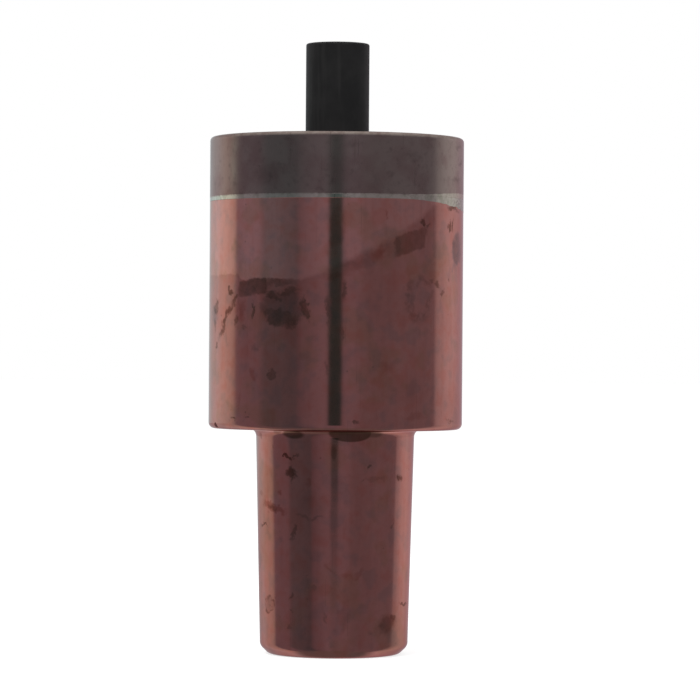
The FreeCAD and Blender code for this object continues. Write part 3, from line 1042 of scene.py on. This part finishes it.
def makePin():
    tip = (pin["nose"], pinHigh.z)
    lower = (pin["flange"], pin["flangeHeight"])
    upper = (pin["flange"], body["stop"])
    foot = (pin["spigot"], pinLow.z)
    step = pin["stem"] - pin["nose"]
    piece = turnPiece("pinCeramic", [
        foot, (pin["spigot"], pin["flangeHeight"]), lower, upper, (pin["stem"], body["stop"]),
        (pin["stem"], faceZ - step), (pin["nose"], faceZ), tip], pin["sides"], solid=True)
    roundRims(piece, [tip], pin["tipRound"], 5)
    roundRims(piece, [lower, upper, foot], pin["edgeRound"], 3)
    return piece


ceramicLook = {"black": (0.0105, 0.0105, 0.0108), "grey": (0.0145, 0.0143, 0.0145),
               "rubbed": (0.020, 0.0195, 0.0195), "roughness": 0.45, "gloss": 0.1}


def makeCeramic():
    look = ceramicLook
    material, tree, shader, place = newMaterial("blackCeramic")
    laid, aged = useAge(tree, place, 0.35)
    mottle = aged["Mottle"]
    color = mixColor(tree, ramp(tree, aged["Clouds"], 0.35, 0.7), rgba(look["black"]), rgba(look["grey"]))
    rub = times(tree, ramp(tree, aged["Streaks"], 0.52, 0.7), 0.5)
    rub = most(tree, rub, wearAt(tree, laid["Radius"], laid["Height"], mottle, pin["nose"], pinHigh.z, 0.35))
    color = mixColor(tree, rub, color, rgba(look["rubbed"]))
    rough = linear(tree, mottle, 0.2, look["roughness"])
    finishSkin(tree, shader, color, rough, mottle, 0.25, 0.01 * mm, metal=0.0)
    shader.inputs["Specular IOR Level"].default_value = look["gloss"]
    return material


pinPiece = makePin()
handOver(pinPiece, "pin", "locating_pin", makeCeramic())

# Spring: closed and ground at both ends, between the plug and the pin's flange
spring = {"turns": 7.0, "closedTurns": 1.0, "rampTurns": 0.5, "wire": 0.9 * mm, "outer": 4.0 * mm,
          "gap": 0.06 * mm, "groundShare": 0.25, "pointsPerTurn": 48, "travel": 9.4 * mm}


def coilHeight(turn, rise):
    if turn > spring["turns"] / 2:
        return rise - coilHeight(spring["turns"] - turn, rise)
    closedPitch = spring["wire"] + spring["gap"]
    openTurns = spring["turns"] - 2 * spring["closedTurns"] - spring["rampTurns"]
    opening = (rise - closedPitch * spring["turns"]) / openTurns
    past = max(turn - spring["closedTurns"], 0)
    bend = min(past, spring["rampTurns"])
    return closedPitch * turn + opening * (bend ** 2 / (2 * spring["rampTurns"]) + past - bend)


def makeSpring():
    seat, top = plugHigh.z, pin["flangeHeight"]
    tipDrop = spring["wire"] * (0.5 - spring["groundShare"])
    rise = top - seat + 2 * tipDrop
    coil = spring["outer"] - spring["wire"] / 2
    count = int(spring["turns"] * spring["pointsPerTurn"]) + 1
    curve = bpy.data.curves.new("springCoil", "CURVE")
    curve.dimensions = "3D"
    curve.bevel_depth = spring["wire"] / 2
    curve.bevel_resolution = 4
    curve.use_fill_caps = True
    wire = curve.splines.new("POLY")
    wire.points.add(count - 1)
    for index, point in enumerate(wire.points):
        turn = index / spring["pointsPerTurn"]
        angle = 2 * math.pi * turn
        z = seat - tipDrop + coilHeight(turn, rise)
        point.co = (coil * math.cos(angle), coil * math.sin(angle), z, 1)
    piece = bpy.data.objects.new("springCoil", curve)
    bpy.context.scene.collection.objects.link(piece)
    onlyPiece(piece)
    bpy.ops.object.convert(target="MESH")
    piece = bpy.context.active_object
    editPiece(piece, everything=True)
    bpy.ops.mesh.remove_doubles(threshold=1e-6)
    bpy.ops.mesh.normals_make_consistent(inside=False)
    leaveEdit()
    bpy.ops.object.select_all(action="DESELECT")
    bpy.ops.mesh.primitive_cylinder_add(vertices=48, radius=chamberRadius, depth=top - seat,
                                        location=(0, 0, (top + seat) / 2))
    seats = startPiece("seats")
    applyPlace(seats)
    cutAway(piece, seats, "INTERSECT")
    return piece


def makeSteel(name, look):
    # mottled steel, rubbed bright on its crests where the look says so
    material, tree, shader, place = newMaterial(name)
    laid, aged = useAge(tree, place, 0.5)
    mottle = aged["Mottle"]
    color = mixColor(tree, ramp(tree, mottle, 0.4, 0.7), rgba(look["plain"]), rgba(look["stained"]))
    if "rubbed" in look:
        rubbed = times(tree, ramp(tree, laid["Radius"], look["crest"] - 0.18, look["crest"]), 0.6)
        color = mixColor(tree, rubbed, color, rgba(look["rubbed"]))
    rough = linear(tree, mottle, 0.25, look["roughness"])
    finishSkin(tree, shader, color, rough, mottle, 0.2, 0.01 * mm)
    return material


springLook = {"plain": (0.46, 0.45, 0.44), "stained": (0.30, 0.28, 0.26), "roughness": 0.2}
springPiece = makeSpring()
handOver(springPiece, "electrode", "pin_spring", makeSteel("springSteel", springLook), 40)
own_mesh(springPiece)

# Plug: headless socket screw in the tapped end of the shank
plug = {"crest": 4.7125 * mm, "chamfer": 0.5 * mm, "acrossFlats": 4.76 * mm, "socketDepth": 4.5 * mm,
        "sides": 96}


def makePlug():
    low, high = plugLow.z, plugHigh.z
    piece = threadRod("plugScrew", thread, plug["crest"], thread["plugRoot"], low, high)
    flatRadius = plug["crest"] - plug["chamfer"]
    shell = turnPiece("plugChamfer", [
        (flatRadius, low - plug["chamfer"]), (2 * plug["crest"], low - plug["chamfer"]),
        (2 * plug["crest"], high + plug["chamfer"]), (flatRadius, high + plug["chamfer"]),
        (flatRadius - plug["chamfer"] / 2, high + plug["chamfer"] / 2),
        (flatRadius, high), (plug["crest"], high - plug["chamfer"]),
        (plug["crest"], low + plug["chamfer"]), (flatRadius, low),
        (flatRadius - plug["chamfer"] / 2, low - plug["chamfer"] / 2)], plug["sides"])
    cutAway(piece, shell)
    bpy.ops.object.select_all(action="DESELECT")
    corner = plug["acrossFlats"] / math.sqrt(3)
    bpy.ops.mesh.primitive_cylinder_add(vertices=6, radius=corner, depth=2 * plug["socketDepth"],
                                        location=(0, 0, low))
    socket = startPiece("socket")
    applyPlace(socket)
    cutAway(piece, socket)
    tipRadius = plug["acrossFlats"] / 2
    tipHeight = tipRadius * math.tan(math.radians(31))
    bpy.ops.object.select_all(action="DESELECT")
    bpy.ops.mesh.primitive_cone_add(vertices=48, radius1=tipRadius, radius2=0, depth=tipHeight,
                                    location=(0, 0, low + plug["socketDepth"] + tipHeight / 2 - 0.01 * mm))
    drill = startPiece("drill")
    applyPlace(drill)
    cutAway(piece, drill)
    return piece


plugLook = {"plain": (0.045, 0.044, 0.046), "stained": (0.075, 0.068, 0.062), "roughness": 0.25,
            "rubbed": (0.32, 0.31, 0.30), "crest": plug["crest"] / mm}
plugPiece = makePlug()
handOver(plugPiece, "electrode", "spring_plug", makeSteel("blackSteel", plugLook))

bpy.context.view_layer.update()
